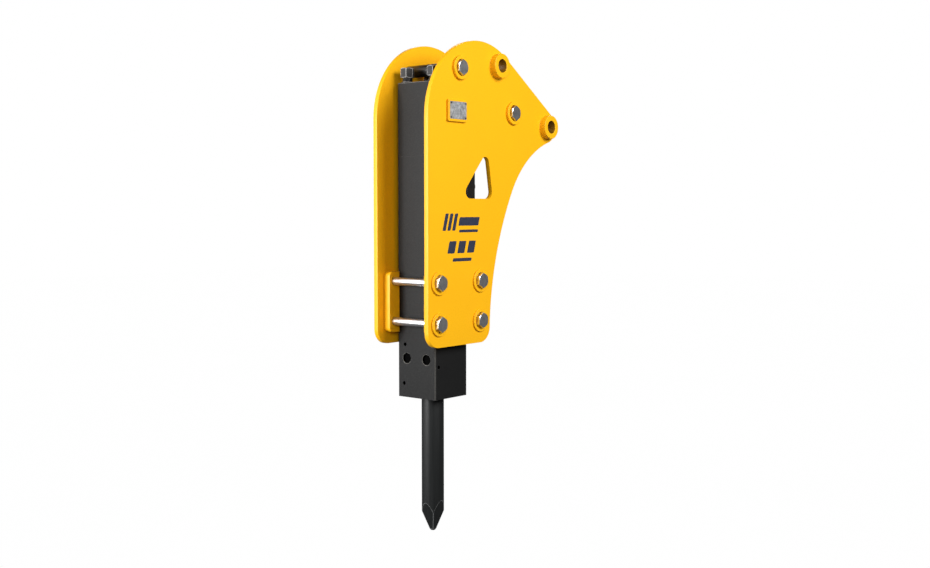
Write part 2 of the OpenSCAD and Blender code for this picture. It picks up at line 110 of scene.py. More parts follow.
FLOOR_DROP = 0.35
ROOM_GREY = 0.04
FLOOR_GREY = 0.12
floor_bm = bmesh.new()
bmesh.ops.create_grid(floor_bm, x_segments=1, y_segments=1, size=20.0)
bmesh.ops.translate(floor_bm, verts=floor_bm.verts, vec=(0, 0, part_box("tool")[0][2] - FLOOR_DROP))
floor_white, tree, surface = new_material("matt_white_floor")
floor_grain = add(tree, "TexNoise", {"Vector": add(tree, "TexCoord").outputs["Object"], "Scale": 0.6})
floor_tone = add(tree, "MapRange", {"Value": floor_grain.outputs["Fac"], "To Min": 0.995, "To Max": 1.0})
floor_light = add(tree, "Mix", {"Factor": add(tree, "LightPath").outputs["Is Camera Ray"],
                                "A": FLOOR_GREY, "B": floor_tone.outputs["Result"]})
floor_glow = add(tree, "Emission", {"Strength": floor_light.outputs["Result"]})
tree.links.new(floor_glow.outputs["Emission"], surface)
floor = keep(floor_bm, "floor", None, None, floor_white)

world = bpy.data.worlds.new("studio")
bpy.context.scene.world = world
world.use_nodes = True
world.node_tree.nodes.clear()
seen = add(world.node_tree, "LightPath").outputs["Is Camera Ray"]
shade = add(world.node_tree, "Mix", {"Factor": seen, "A": (ROOM_GREY, ROOM_GREY, ROOM_GREY, 1),
                                     "B": (1, 1, 1, 1)}, data_type="RGBA")
backdrop = add(world.node_tree, "Background", {"Color": shade.outputs["Result"], "Strength": 1.0})
world_output = world.node_tree.nodes.new("ShaderNodeOutputWorld")
world.node_tree.links.new(backdrop.outputs["Background"], world_output.inputs["Surface"])

LAMPS = (
    # name, place, aim, width, height, watts
    ("left_panel", (-3.1, 2.2, 0.5), (-0.48, 0.0, -0.3), 3.6, 4.6, 74),
    ("left_softbox", (-3.9, 1.3, -0.1), (-0.48, 0.0, -0.3), 1.8, 1.8, 150),
    ("near_softbox", (-3.1, -2.6, 0.5), (-0.48, 0.0, -0.3), 1.3, 1.3, 42),
    ("front_softbox", (-0.3, -3.8, 1.5), (-0.3, 0.0, -0.4), 2.1, 2.0, 190),
    ("rear_softbox", (2.6, 2.0, 1.6), (-0.3, 0.0, -0.4), 2.0, 2.0, 40),
)
for name, place, aim, width, height, watts in LAMPS:
    lamp_data = bpy.data.lights.new(name, "AREA")
    lamp_data.shape = "RECTANGLE"
    lamp_data.size = width
    lamp_data.size_y = height
    lamp_data.energy = watts
    lamp = bpy.data.objects.new(name, lamp_data)
    bpy.context.scene.collection.objects.link(lamp)
    lamp.location = place
    lamp.rotation_euler = (Vector(aim) - Vector(place)).to_track_quat("-Z", "Y").to_euler()

# ---- Side plates ----
# Two 16 mm structural steel plates, flame cut, their edges ground off, and sprayed with a
# yellow two-pack enamel: a smooth satin film with a faint orange peel and softer, paler edges.
FLAT_BEND = 0.4      # degrees: faces that meet at less make one flat face
ROUND_BEND = 32.0    # degrees: faces that meet at less make one round surface
MERGE_GAP = 2e-6


def soften(bm, band=()):
    """Smooth shading on round faces and on the given band of rounding, flat on the rest."""
    for face in bm.faces:
        bends = [e.calc_face_angle(0.0) for e in face.edges
                 if not any(other in band for other in e.link_faces)]
        curved = any(math.radians(FLAT_BEND) < bend < math.radians(ROUND_BEND) for bend in bends)
        face.smooth = face in band or curved


def ease_edges(bm, ease, steps=2, corner=25.0):
    """Rounds the sharp edges; the narrow faces of the rounding get 1.0 in the layer "edge"."""
    edge = bm.faces.layers.float.get("edge") or bm.faces.layers.float.new("edge")
    sharp = [e for e in bm.edges if len(e.link_faces) == 2 and e.calc_face_angle() > math.radians(corner)]
    band = bmesh.ops.bevel(bm, geom=sharp, offset=ease, offset_type="OFFSET", affect="EDGES",
                           segments=steps, profile=0.5, material=-1, clamp_overlap=True)
    for face in band["faces"]:
        face[edge] = 1.0
    soften(bm, set(band["faces"]))
    return bm


def eased(node, ease, steps=2, corner=25.0):
    """Copies a CAD node, joins its triangles into clean faces and rounds its sharp edges."""
    bm = bmesh.new()
    bm.from_mesh(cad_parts[node].data)
    bmesh.ops.remove_doubles(bm, verts=bm.verts, dist=MERGE_GAP)
    bmesh.ops.dissolve_limit(bm, angle_limit=math.radians(FLAT_BEND), verts=bm.verts, edges=bm.edges,
                             use_dissolve_boundaries=False, delimit=set())
    return ease_edges(bm, ease, steps, corner)


def dress(node, finish, body, slot, material, ease=0.0008):
    """A CAD node with rounded edges and a real finish, in place of the plain one."""
    piece = keep(eased(node, ease), node + "_" + finish, body, slot, material)
    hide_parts(node)
    return piece


def yellow_enamel():
    """Two-pack enamel: deep yellow, satin, slightly uneven in tone and gloss."""
    material, tree, surface = new_material("yellow_two_pack_enamel")
    place = add(tree, "TexCoord").outputs["Object"]
    # broad unevenness of the sprayed coats, about 120 mm across
    cloud = add(tree, "TexNoise", {"Vector": place, "Scale": 8.0, "Detail": 3.0, "Roughness": 0.55})
    tone = add(tree, "Mix", {"Factor": cloud.outputs["Fac"], "A": linear("#FABA16"), "B": linear("#F6B310")},
               data_type="RGBA")
    # dust nibs and overspray, about 4 mm apart, drawn coarser than real ones so that they show
    nibs = add(tree, "TexNoise", {"Vector": place, "Scale": 260.0, "Detail": 2.0, "Roughness": 0.7})
    speck = add(tree, "MapRange", {"Value": nibs.outputs["Fac"], "From Min": 0.38, "From Max": 0.68,
                                   "To Min": 0.0, "To Max": 0.30})
    grain = add(tree, "Mix", {"Factor": speck.outputs["Result"], "A": tone.outputs["Result"],
                              "B": linear("#D99A02")}, data_type="RGBA")
    # thinner film on the rounded edges lets them look paler
    rim = add(tree, "Attribute", attribute_name="edge").outputs["Fac"]
    rim_part = add(tree, "Math", {0: rim, 1: 0.1}, operation="MULTIPLY")
    colour = add(tree, "Mix", {"Factor": rim_part.outputs["Value"], "A": grain.outputs["Result"],
                               "B": linear("#FFC832")}, data_type="RGBA")
    gloss = add(tree, "MapRange", {"Value": cloud.outputs["Fac"], "To Min": 0.34, "To Max": 0.46})
    # orange peel of the film, waves about 3 mm long
    peel = add(tree, "TexNoise", {"Vector": place, "Scale": 320.0, "Detail": 1.0})
    bump = add(tree, "Bump", {"Height": peel.outputs["Fac"], "Strength": 0.10, "Distance": 0.0004})
    paint = add(tree, "BsdfPrincipled", {"Base Color": colour.outputs["Result"], "IOR": 1.5,
                                         "Specular IOR Level": 0.25,
                                         "Roughness": gloss.outputs["Result"],
                                         "Normal": bump.outputs["Normal"]})
    tree.links.new(paint.outputs["BSDF"], surface)
    return material


yellow = yellow_enamel()
for node in ("side_plate_left", "side_plate_right"):
    dress(node, "sprayed", "housing", "yellow_paint", yellow, ease=0.0012)

# ---- Pin bosses ----
# Turned steel rings let into the plates, welded all round and bored through for the carrier's
# pins. They are sprayed with the plates; inside, the paint is thin and smeared with grease, and
# its colour is darkened further as painted shade.
PIN_BORE = 0.0225
BOSS_RADIUS = 0.041
BOSSES = (("dipper_pin_bosses", (0.0, 0.0)), ("link_pin_bosses", (-0.2849, 0.1905)))
PLATE_FACE = 0.119
WELD_LEG = 0.0015
WELD_ROOT = 0.0008
RIPPLE_PITCH = 0.0022


def greased_bore_painted_shade():
    """Bored steel under a thin coat of yellow and a film of old grease, darkened further as painted shade."""
    material, tree, surface = new_material("greased_bored_steel_painted_shade")
    place = add(tree, "TexCoord").outputs["Object"]
    # smears of grease about 15 mm long
    film = add(tree, "TexNoise", {"Vector": place, "Scale": 66.0, "Detail": 4.0, "Roughness": 0.6})
    patch = add(tree, "MapRange", {"Value": film.outputs["Fac"], "From Min": 0.35, "From Max": 0.65})
    # both browns are much darker than the yellow outside: grease and painted shade inside the bore
    colour = add(tree, "Mix", {"Factor": patch.outputs["Result"], "A": linear("#6E4A08"),
                               "B": linear("#8C6210")}, data_type="RGBA")
    # turning marks of the boring bar, drawn 3 mm apart so that they show
    rings = add(tree, "TexWave", {"Vector": place, "Scale": 100.0, "Distortion": 0.3},
                wave_type="BANDS", bands_direction="Y")
    bump = add(tree, "Bump", {"Height": rings.outputs["Fac"], "Strength": 0.12, "Distance": 0.0003})
    rough = add(tree, "MapRange", {"Value": film.outputs["Fac"], "To Min": 0.30, "To Max": 0.60})
    paint = add(tree, "BsdfPrincipled", {"Base Color": colour.outputs["Result"], "IOR": 1.5,
                                         "Roughness": rough.outputs["Result"],
                                         "Normal": bump.outputs["Normal"]})
    tree.links.new(paint.outputs["BSDF"], surface)
    return material


def weld_round(whole, centre, radius, face_y, side, leg):
    """Adds a fillet weld round a turned piece: a quarter-round bead in small overlapping ripples."""
    steps = max(48, int(2 * math.pi * radius / RIPPLE_PITCH))
    arc = [(radius - WELD_ROOT, 0.0), (radius - WELD_ROOT, leg), (radius + leg * 0.55, leg * 0.62),
           (radius + leg, 0.0)]
    rim = [whole.verts.new((centre[0] + r, side * (face_y + h - 0.0002), centre[1])) for r, h in arc]
    lines = [whole.edges.new((a, b)) for a, b in zip(rim, rim[1:] + rim[:1])]
    bmesh.ops.spin(whole, geom=rim + lines, cent=(centre[0], 0, centre[1]), axis=(0, 1, 0),
                   angle=2 * math.pi, steps=steps, use_merge=True, use_duplicate=False)
    ring = [v for v in whole.verts if v.is_valid and math.hypot(v.co.x - centre[0], v.co.z - centre[1])
            < radius + leg * 1.2 and v.co.y * side > face_y - 0.001]
    for v in ring:
        out = Vector((v.co.x - centre[0], 0, v.co.z - centre[1]))
        if out.length > radius:
            turn = math.atan2(out.z, out.x)
            ripple = 0.10 * leg * math.cos(turn * steps / 3) + 0.2 * leg * noise.noise(v.co * 90)
            v.co += out.normalized() * ripple


bores = greased_bore_painted_shade()
for node, centre in BOSSES:
    bm = eased(node, 0.0018)
    for face in bm.faces:
        middle = face.calc_center_median()
        off_axis = math.hypot(middle.x - centre[0], middle.z - centre[1])
        face.material_index = 1 if off_axis < PIN_BORE + 0.0002 and abs(face.normal.y) < 0.1 else 0
    boss = keep(bm, node + "_turned", "housing", "yellow_paint", yellow, bores)
    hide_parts(node)
    beads = bmesh.new()
    for side in (-1, 1):
        weld_round(beads, centre, BOSS_RADIUS, PLATE_FACE, side, WELD_LEG)
    bmesh.ops.recalc_face_normals(beads, faces=beads.faces)
    for face in beads.faces:
        face.smooth = True
    keep(beads, node + "_weld", "housing", "yellow_paint", yellow)

# ---- Bolt guard rings ----
# Flat rings cut from thick tube, tacked onto the plates round every bolt head and nut so that
# rubble can't shear them off. Painted over with the plates.
dress("bolt_guard_rings", "sprayed", "housing", "yellow_paint", yellow, ease=0.0012)

# ---- Clamp blocks ----
# Four flame-cut blocks between plates and body. The lower bolts run through them, and a lip on
# each reaches round a corner of the body and grips it. Ground, then painted yellow.
dress("clamp_blocks", "sprayed", "housing", "yellow_paint", yellow, ease=0.0016)

# ---- Rating plate ----
# A thin anodised aluminium plate, left blank here but for its pressed border and ruled fields,
# riveted at its corners to a small raised pad on the left plate. Scuffed and dulled by dust.
BORDER_INSET = 0.003
FIELD_ROWS = 3
FIELD_FOOT = 0.0115
FIELD_PITCH = 0.012
FIELD_HIGH = 0.008
FIELD_SIDE = 0.012
FIELD_SPLIT = (0.036, 0.040)     # where the short field of a row ends and the long one starts
BORDER = (0.0008, 0.0004)        # width and height of the pressed lines
RULE = (0.0006, 0.0003)


def scuffed_aluminium():
    """Brushed aluminium gone blotchy: pale rubbed patches over a dull grey film."""
    material, tree, surface = new_material("brushed_anodised_aluminium")
    place = add(tree, "TexCoord").outputs["Object"]
    # brushing runs up and down, drawn 1.5 mm apart so that it shows
    long_way = add(tree, "Mapping", {"Vector": place, "Scale": (1.0, 1.0, 0.06)})
    brush = add(tree, "TexNoise", {"Vector": long_way.outputs["Vector"], "Scale": 700.0, "Detail": 2.0})
    # rubbed patches about 12 mm across
    blotch = add(tree, "TexNoise", {"Vector": place, "Scale": 85.0, "Detail": 5.0, "Roughness": 0.65})
    mask = add(tree, "MapRange", {"Value": blotch.outputs["Fac"], "From Min": 0.40, "From Max": 0.62})
    tone = add(tree, "Mix", {"Factor": mask.outputs["Result"], "A": linear("#8B8C8D"),
                             "B": linear("#C9CACB")}, data_type="RGBA")
    shade = add(tree, "MapRange", {"Value": brush.outputs["Fac"], "To Min": 0.85, "To Max": 1.08})
    colour = add(tree, "Mix", {"Factor": 1.0, "A": tone.outputs["Result"], "B": shade.outputs["Result"]},
                 data_type="RGBA", blend_type="MULTIPLY")
    rough = add(tree, "MapRange", {"Value": blotch.outputs["Fac"], "To Min": 0.62, "To Max": 0.42})
    bump = add(tree, "Bump", {"Height": brush.outputs["Fac"], "Strength": 0.15, "Distance": 0.0002})
    metal = add(tree, "BsdfPrincipled", {"Base Color": colour.outputs["Result"], "Metallic": 0.55,
                                         "Roughness": rough.outputs["Result"],
                                         "Normal": bump.outputs["Normal"]})
    tree.links.new(metal.outputs["BSDF"], surface)
    return material


def narrow_rims(bm, faces, width):
    """Splits a narrow rim off round each of the faces and returns the rims' faces."""
    return bmesh.ops.inset_individual(bm, faces=faces, thickness=width, use_even_offset=True)["faces"]


def box_frame(whole, x0, z0, x1, z1, y, line):
    """Adds a low pressed border: a rectangle of lines, raised off the plate by their height."""
    corners = [whole.verts.new((x, y, z)) for x, z in ((x0, z0), (x1, z0), (x1, z1), (x0, z1))]
    sheet = whole.faces.new(corners)
    sheet.normal_update()
    ruled = narrow_rims(whole, [sheet], line[0])
    bmesh.ops.delete(whole, geom=[sheet], context="FACES_ONLY")
    raised = bmesh.ops.extrude_face_region(whole, geom=ruled)
    tops = [g for g in raised["geom"] if isinstance(g, bmesh.types.BMVert)]
    bmesh.ops.translate(whole, verts=tops, vec=(0, -line[1], 0))


dress("rating_plate_pad", "sprayed", "housing", "yellow_paint", yellow, ease=0.0016)
aluminium = scuffed_aluminium()
dress("rating_plate", "brushed", "housing", "bare_aluminium", aluminium, ease=0.0003)
low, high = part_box("rating_plate")
fields = bmesh.new()
box_frame(fields, low[0] + BORDER_INSET, low[2] + BORDER_INSET, high[0] - BORDER_INSET,
          high[2] - BORDER_INSET, low[1], BORDER)
for k in range(FIELD_ROWS):
    foot = low[2] + FIELD_FOOT + FIELD_PITCH * k
    for start, end in ((low[0] + FIELD_SIDE, low[0] + FIELD_SPLIT[0]),
                       (low[0] + FIELD_SPLIT[1], high[0] - FIELD_SIDE)):
        box_frame(fields, start, foot, end, foot + FIELD_HIGH, low[1], RULE)
bmesh.ops.recalc_face_normals(fields, faces=fields.faces)
keep(fields, "rating_plate_fields", "housing", "bare_aluminium", aluminium)


def black_oxide():
    """Oiled black oxide on steel: near black, a little brown, rubbed to bare steel on its edges."""
    material, tree, surface = new_material("oiled_black_oxide_steel")
    place = add(tree, "TexCoord").outputs["Object"]
    # uneven oxide in spots about 4 mm across
    spots = add(tree, "TexNoise", {"Vector": place, "Scale": 240.0, "Detail": 4.0, "Roughness": 0.65})
    tone = add(tree, "Mix", {"Factor": spots.outputs["Fac"], "A": linear("#111112"), "B": linear("#1F1E1D")},
               data_type="RGBA")
    # the pale rim colour is rubbed steel on the edges; on the rims of the tie rod nut flats it is partly a
    # painted highlight
    rim = add(tree, "Attribute", attribute_name="edge").outputs["Fac"]
    rub = add(tree, "MapRange", {"Value": spots.outputs["Fac"], "From Min": 0.30, "From Max": 0.55})
    wear = add(tree, "Math", {0: rim, 1: rub.outputs["Result"]}, operation="MULTIPLY")
    colour = add(tree, "Mix", {"Factor": wear.outputs["Value"], "A": tone.outputs["Result"],
                               "B": linear("#D0CFCC")}, data_type="RGBA")
    bare = add(tree, "MapRange", {"Value": wear.outputs["Value"], "To Min": 0.03, "To Max": 0.8})
    rough = add(tree, "MapRange", {"Value": spots.outputs["Fac"], "To Min": 0.34, "To Max": 0.54})
    bump = add(tree, "Bump", {"Height": spots.outputs["Fac"], "Strength": 0.2, "Distance": 0.0003})
    steel = add(tree, "BsdfPrincipled", {"Base Color": colour.outputs["Result"],
                                         "Specular IOR Level": 0.3,
                                         "Metallic": bare.outputs["Result"],
                                         "Roughness": rough.outputs["Result"],
                                         "Normal": bump.outputs["Normal"]})
    tree.links.new(steel.outputs["BSDF"], surface)
    return material


oxide = black_oxide()
dress("rating_plate_rivets", "headed", "housing", "dark_fasteners", oxide, ease=0.0003)

# ---- Plate stripes ----
# Cut vinyl in dark navy, 0.2 mm thick, laid on both side plates below the window: slanted
# bars, bands and a row of three blocks with rounded corners. Plain stripes with no lettering.
STRIPES = (
    # left and right from the tool's axis, bottom and top above the front head's foot, in mm
    (-80, -64, 556, 612), (-56, -40, 556, 612), (-32, -16, 556, 612),
    (-4, 100, 572, 600), (-4, 94, 550, 559),
    (-58, -22, 482, 522), (-8, 28, 482, 522), (42, 78, 482, 522),
    (-36, 60, 455, 466),
)
STRIPE_SLANT = 0.28
STRIPE_CORNER = 0.003
VINYL_GAP = 0.00005
VINYL_THICK = 0.0002
FAR_SHIFT = 0.023    # how much further back the far plate's stripes sit
TOOL_AXIS_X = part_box("tool")[0][0] + (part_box("tool")[1][0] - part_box("tool")[0][0]) / 2
HEAD_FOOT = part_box("front_head")[0][2]


def navy_vinyl():
    """Calendered vinyl: flat navy with a low satin gloss, a few pale scuffs, dust at its edges."""
    material, tree, surface = new_material("navy_calendered_vinyl")
    place = add(tree, "TexCoord").outputs["Object"]
    scuff = add(tree, "TexNoise", {"Vector": place, "Scale": 150.0, "Detail": 5.0, "Roughness": 0.7})
    worn = add(tree, "MapRange", {"Value": scuff.outputs["Fac"], "From Min": 0.45, "From Max": 0.85,
                                  "To Min": 0.0, "To Max": 0.35})
    colour = add(tree, "Mix", {"Factor": worn.outputs["Result"], "A": linear("#262C42"),
                               "B": linear("#5A5A5C")}, data_type="RGBA")
    rough = add(tree, "MapRange", {"Value": scuff.outputs["Fac"], "To Min": 0.35, "To Max": 0.6})
    film = add(tree, "BsdfPrincipled", {"Base Color": colour.outputs["Result"], "IOR": 1.5,
                                        "Roughness": rough.outputs["Result"]})
    tree.links.new(film.outputs["BSDF"], surface)
    return material


vinyl = bmesh.new()
for side in (-1, 1):
    for left, right, foot, top in STRIPES:
        lean = STRIPE_SLANT * (top - foot) / 2
        outline = ((left - lean, foot), (right - lean, foot), (right + lean, top), (left + lean, top))
        corners = [vinyl.verts.new((TOOL_AXIS_X - side * x / 1000 + (side + 1) / 2 * FAR_SHIFT,
                                    side * (PLATE_FACE + VINYL_GAP), HEAD_FOOT + z / 1000))
                   for x, z in outline]
        sheet = vinyl.faces.new(corners)
        thick = bmesh.ops.extrude_face_region(vinyl, geom=[sheet])
        outer = [g for g in thick["geom"] if isinstance(g, bmesh.types.BMVert)]
        bmesh.ops.translate(vinyl, verts=outer, vec=(0, side * VINYL_THICK, 0))
upright = [e for e in vinyl.edges if abs(e.verts[0].co.y - e.verts[1].co.y) > VINYL_THICK / 2]
bmesh.ops.bevel(vinyl, geom=upright, offset=STRIPE_CORNER, offset_type="OFFSET", affect="EDGES",
                segments=4, profile=0.5, material=-1)
bmesh.ops.recalc_face_normals(vinyl, faces=vinyl.faces)
keep(vinyl, "plate_stripes", "housing", "yellow_paint", navy_vinyl())

# ---- Spacer tubes ----
# Two lengths of thick tube between the plates at the upper bolts, faced square and painted
# satin black; the bolts clamp the plates against their ends.


def satin_black():
    """Brushed-on black enamel, satin, with fine runs and a few dusty patches."""
    material, tree, surface = new_material("satin_black_enamel")
    place = add(tree, "TexCoord").outputs["Object"]
    dust = add(tree, "TexNoise", {"Vector": place, "Scale": 120.0, "Detail": 4.0, "Roughness": 0.6})
    veil = add(tree, "MapRange", {"Value": dust.outputs["Fac"], "From Min": 0.4, "From Max": 0.8,
                                  "To Min": 0.0, "To Max": 0.5})
    colour = add(tree, "Mix", {"Factor": veil.outputs["Result"], "A": linear("#121213"),
                               "B": linear("#2A2926")}, data_type="RGBA")
    rough = add(tree, "MapRange", {"Value": dust.outputs["Fac"], "To Min": 0.28, "To Max": 0.5})
    bump = add(tree, "Bump", {"Height": dust.outputs["Fac"], "Strength": 0.15, "Distance": 0.0004})
    paint = add(tree, "BsdfPrincipled", {"Base Color": colour.outputs["Result"], "IOR": 1.5,
                                         "Roughness": rough.outputs["Result"],
                                         "Normal": bump.outputs["Normal"]})
    tree.links.new(paint.outputs["BSDF"], surface)
    return material


dress("spacer_tubes", "painted", "housing", "black_paint", satin_black())

# ---- Clamp bolts ----
# Six M30 bolts right through both plates: forged hexagon heads 46 mm across with their corners
# turned off, and long shanks ground to 27 mm. Bright zinc over all, polished by handling.
BOLTS = ((-0.5881, -0.6622), (-0.3771, -0.6622), (-0.5881, -0.5289), (-0.3771, -0.5289),
         (-0.4826, 0.1690), (-0.1980, 0.0384))
HEAD_AF = 0.046
HEAD_HIGH = 0.0175
SHANK_RADIUS = 0.0135
BOLT_END = 0.1485
CUTS_ROUND = 48              # flat cuts that make up the cone at a hexagon's end
CUT_INSET = 0.49             # where the cone meets the end face, as a part of the width
CUT_LEAN = (0.5, 0.866)      # sine and cosine of the cone's 30 degrees


def bright_zinc():
    """Zinc plate, bright: silver grey, a little cloudy, with soft dark handling marks."""
    material, tree, surface = new_material("bright_zinc_plate")
    place = add(tree, "TexCoord").outputs["Object"]
    # clouds in the plating about 15 mm across and dark specks about 2 mm across
    cloud = add(tree, "TexNoise", {"Vector": place, "Scale": 66.0, "Detail": 4.0, "Roughness": 0.6})
    speck = add(tree, "TexNoise", {"Vector": place, "Scale": 420.0, "Detail": 2.0})
    mask = add(tree, "MapRange", {"Value": speck.outputs["Fac"], "From Min": 0.60, "From Max": 0.75,
                                  "To Min": 0.0, "To Max": 0.5})
    tone = add(tree, "Mix", {"Factor": cloud.outputs["Fac"], "A": linear("#D2D3D5"), "B": linear("#F0F0F2")},
               data_type="RGBA")
    colour = add(tree, "Mix", {"Factor": mask.outputs["Result"], "A": tone.outputs["Result"],
                               "B": linear("#77767A")}, data_type="RGBA")
    rough = add(tree, "MapRange", {"Value": cloud.outputs["Fac"], "To Min": 0.26, "To Max": 0.42})
    bump = add(tree, "Bump", {"Height": cloud.outputs["Fac"], "Strength": 0.12, "Distance": 0.0006})
    zinc = add(tree, "BsdfPrincipled", {"Base Color": colour.outputs["Result"], "Metallic": 1.0,
                                        "Roughness": rough.outputs["Result"],
                                        "Normal": bump.outputs["Normal"]})
    tree.links.new(zinc.outputs["BSDF"], surface)
    return material


def hexagon(af, height, both_ends=False):
    """A hexagon along +Z from 0 to its height, its upper corners turned off at 30 degrees."""
    bm = bmesh.new()
    wide = af / 2 / math.cos(math.radians(30))
    bmesh.ops.create_cone(bm, cap_ends=True, segments=6, radius1=wide, radius2=wide, depth=height,
                          matrix=Matrix.Translation((0, 0, height / 2)))
    for k in range(CUTS_ROUND):
        turn = 2 * math.pi * (k + 0.5) / CUTS_ROUND
        out = Vector((math.cos(turn), math.sin(turn), 0))
        ends = ((height, 1), (0, -1)) if both_ends else ((height, 1),)
        for level, way in ends:
            bmesh.ops.bisect_plane(bm, geom=bm.verts[:] + bm.edges[:] + bm.faces[:], dist=1e-7,
                                   plane_co=out * af * CUT_INSET + Vector((0, 0, level)),
                                   plane_no=out * CUT_LEAN[0] + Vector((0, 0, way * CUT_LEAN[1])),
                                   clear_outer=True)
            open_edges = [e for e in bm.edges if e.is_boundary]
            if open_edges:
                bmesh.ops.holes_fill(bm, edges=open_edges, sides=0)
    bmesh.ops.remove_doubles(bm, verts=bm.verts, dist=1e-6)
    return bm


def gather(whole, shape, places):
    """Adds a copy of a shape to a piece at each of the places."""
    mesh = bpy.data.meshes.new("shape")
    shape.to_mesh(mesh)
    shape.free()
    for place in places:
        start = len(whole.verts)
        whole.from_mesh(mesh)
        whole.verts.ensure_lookup_table()
        bmesh.ops.transform(whole, matrix=place, verts=whole.verts[start:])
    bpy.data.meshes.remove(mesh)


def round_bar(radius, length):
    """A round bar along +Z from 0 to its length."""
    bm = bmesh.new()
    bmesh.ops.create_cone(bm, cap_ends=True, segments=64, radius1=radius, radius2=radius, depth=length,
                          matrix=Matrix.Translation((0, 0, length / 2)))
    return bm


zinc = bright_zinc()
FACE_LEFT = Matrix.Rotation(math.radians(90), 4, "X")
for node, row in (("lower_clamp_bolts", BOLTS[:4]), ("upper_clamp_bolts", BOLTS[4:])):
    bolts = bmesh.new()
    gather(bolts, hexagon(HEAD_AF, HEAD_HIGH),
           [Matrix.Translation((x, -PLATE_FACE, z)) @ FACE_LEFT for x, z in row])
    gather(bolts, round_bar(SHANK_RADIUS, BOLT_END + PLATE_FACE),
           [Matrix.Translation((x, BOLT_END, z)) @ FACE_LEFT for x, z in row])
    piece = keep(ease_edges(bolts, 0.0006), node + "_plated", "housing", "zinc_bolts", zinc)
    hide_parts(node)

# ---- Clamp washers and nuts ----
# Under each nut on the far plate a punched zinc-plated washer, then a full black nut, its
# corners turned off on both sides.
NUT_FOOT = 0.1225
NUT_HIGH = 0.024
dress("clamp_washers", "plated", "housing", "zinc_bolts", zinc, ease=0.0005)
nuts = bmesh.new()
FACE_RIGHT = Matrix.Rotation(math.radians(-90), 4, "X")
gather(nuts, hexagon(HEAD_AF, NUT_HIGH, both_ends=True),
       [Matrix.Translation((x, NUT_FOOT, z)) @ FACE_RIGHT for x, z in BOLTS])
piece = keep(ease_edges(nuts, 0.0005), "clamp_nuts_turned", "housing", "dark_fasteners", oxide)
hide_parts("clamp_nuts")

# ---- Front head, cylinder and back head ----
# Three forged and milled blocks of alloy steel, stacked to make the square body. Sprayed in a
# matt charcoal enamel with a fine grain; the paint is chipped and rubbed grey on the edges. The
# pale lines on the planed corners and countersinks are painted highlights, and the one under the
# top edge is rubbed paint and a painted highlight together.
SPRAYED_DEPTH = 0.004
SMALL_FACE = 0.0002
PALE_LINE_WIDTH = 0.0016
WALL_AREA = 0.008


def charcoal_enamel():
    """Matt charcoal enamel: nearly black, grainy, with pale rubbed edges and painted highlight lines."""
    material, tree, surface = new_material("matt_charcoal_enamel")
    place = add(tree, "TexCoord").outputs["Object"]
    # thick and thin coats, about 100 mm across
    cloud = add(tree, "TexNoise", {"Vector": place, "Scale": 10.0, "Detail": 3.0})
    # grain of the matt coat, drawn 3 mm coarse so that it shows
    grain = add(tree, "TexNoise", {"Vector": place, "Scale": 330.0, "Detail": 3.0, "Roughness": 0.7})
    tone = add(tree, "Mix", {"Factor": cloud.outputs["Fac"], "A": linear("#101011"), "B": linear("#171717")},
               data_type="RGBA")
    dots = add(tree, "MapRange", {"Value": grain.outputs["Fac"], "From Min": 0.45, "From Max": 0.7,
                                  "To Min": 0.0, "To Max": 0.6})
    dusty = add(tree, "Mix", {"Factor": dots.outputs["Result"], "A": tone.outputs["Result"],
                              "B": linear("#2E2E2D")}, data_type="RGBA")
    # the pale edge colour is rubbed paint on the rounded edges and a painted highlight on the corner and top
    # lines
    rim = add(tree, "Attribute", attribute_name="edge").outputs["Fac"]
    rub = add(tree, "MapRange", {"Value": grain.outputs["Fac"], "From Min": 0.35, "From Max": 0.60,
                                 "To Min": 0.3, "To Max": 1.0})
    wear = add(tree, "Math", {0: rim, 1: rub.outputs["Result"]}, operation="MULTIPLY")
    colour = add(tree, "Mix", {"Factor": wear.outputs["Value"], "A": dusty.outputs["Result"],
                               "B": linear("#8F8D88")}, data_type="RGBA")
    rough = add(tree, "MapRange", {"Value": grain.outputs["Fac"], "To Min": 0.40, "To Max": 0.58})
    bump = add(tree, "Bump", {"Height": grain.outputs["Fac"], "Strength": 0.32, "Distance": 0.0005})
    paint = add(tree, "BsdfPrincipled", {"Base Color": colour.outputs["Result"], "IOR": 1.5,
                                         "Specular IOR Level": 0.17,
                                         "Roughness": rough.outputs["Result"],
                                         "Normal": bump.outputs["Normal"]})
    tree.links.new(paint.outputs["BSDF"], surface)
    return material


def bare_steel(name, dark, light, rough_low, rough_high, lines=0.0, way="Z"):
    """Machined bare steel: tone from one grey to another, faint turning marks, thin oil."""
    material, tree, surface = new_material(name)
    place = add(tree, "TexCoord").outputs["Object"]
    # oil and handling marks about 12 mm across
    oil = add(tree, "TexNoise", {"Vector": place, "Scale": 85.0, "Detail": 4.0, "Roughness": 0.6})
    colour = add(tree, "Mix", {"Factor": oil.outputs["Fac"], "A": linear(dark), "B": linear(light)},
                 data_type="RGBA")
    rough = add(tree, "MapRange", {"Value": oil.outputs["Fac"], "To Min": rough_low, "To Max": rough_high})
    # tool marks, drawn 2.5 mm apart so that they show
    marks = add(tree, "TexWave", {"Vector": place, "Scale": 125.0, "Distortion": 0.4, "Detail": 2.0},
                wave_type="BANDS", bands_direction=way)
    bump = add(tree, "Bump", {"Height": marks.outputs["Fac"], "Strength": 0.04 + lines, "Distance": 0.0003})
    steel = add(tree, "BsdfPrincipled", {"Base Color": colour.outputs["Result"], "Metallic": 1.0,
                                         "Roughness": rough.outputs["Result"],
                                         "Normal": bump.outputs["Normal"]})
    tree.links.new(steel.outputs["BSDF"], surface)
    return material


